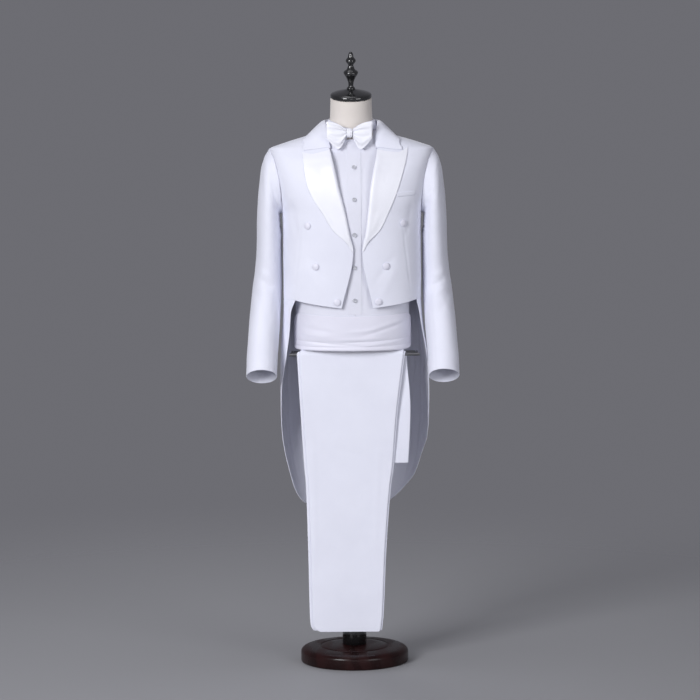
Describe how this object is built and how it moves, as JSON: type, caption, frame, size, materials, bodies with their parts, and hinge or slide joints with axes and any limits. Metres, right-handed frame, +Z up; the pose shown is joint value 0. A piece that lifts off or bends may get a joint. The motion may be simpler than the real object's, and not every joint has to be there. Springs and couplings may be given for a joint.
{
  "type": "tailcoat suit on a dress form stand",
  "caption": "White evening tailcoat with peak lapels over shirt, bow tie and cummerbund, trousers folded on a bar, on a limbless dress form stand.",
  "frame": {"origin": "centre of the round base's underside, on the floor", "axes": "+Z up the pole; the garment's front faces -Y; the wearer's left is +X"},
  "size_m": [0.594, 0.312, 1.7203],
  "materials": {
    "cloth": "fine plain-weave white suiting, matt with a faint cool cast",
    "satin": "white satin with a soft sheen",
    "shirting": "fine white poplin, matt",
    "pearl": "pearly white plastic",
    "jersey": "cream stretch jersey over a moulded form",
    "black": "black gloss lacquer",
    "wood": "dark red-brown gloss varnish",
    "steel": "dark brushed steel"
  },
  "bodies": {
    "root": {"coat_front_right": "cloth", "coat_front_left": "cloth", "coat_side_body_right": "cloth", "coat_side_body_left": "cloth", "coat_back_right": "cloth", "coat_back_left": "cloth", "coat_tail_skirt_right": "cloth", "coat_tail_skirt_left": "cloth", "coat_top_sleeve_right": "cloth", "coat_under_sleeve_right": "cloth", "coat_top_sleeve_left": "cloth", "coat_under_sleeve_left": "cloth", "coat_collar": "cloth", "coat_breast_welt": "cloth", "trouser_leg_right": "cloth", "trouser_leg_left": "cloth", "trouser_waistband_right": "cloth", "trouser_waistband_left": "cloth", "coat_lapel_right": "satin", "coat_lapel_left": "satin", "bow_tie_wing_right": "satin", "bow_tie_wing_left": "satin", "bow_tie_knot": "satin", "cummerbund": "satin", "coat_button_right_1": "satin", "coat_button_right_2": "satin", "coat_button_right_3": "satin", "coat_button_left_1": "satin", "coat_button_left_2": "satin", "coat_button_left_3": "satin", "shirt_front_right": "shirting", "shirt_front_left": "shirting", "shirt_back": "shirting", "shirt_placket": "shirting", "shirt_collar": "shirting", "shirt_button_1": "pearl", "shirt_button_2": "pearl", "shirt_button_3": "pearl", "shirt_button_4": "pearl", "shirt_button_5": "pearl", "form_torso": "jersey", "form_neck_cap": "black", "form_finial": "black", "form_pole": "black", "form_pole_collar": "black", "form_base": "wood", "trouser_bar": "steel", "trouser_bar_clamp": "steel", "trouser_bar_arm_right": "steel", "trouser_bar_arm_left": "steel", "trouser_bar_cross_right": "steel", "trouser_bar_cross_left": "steel"}
  },
  "joints": []
}
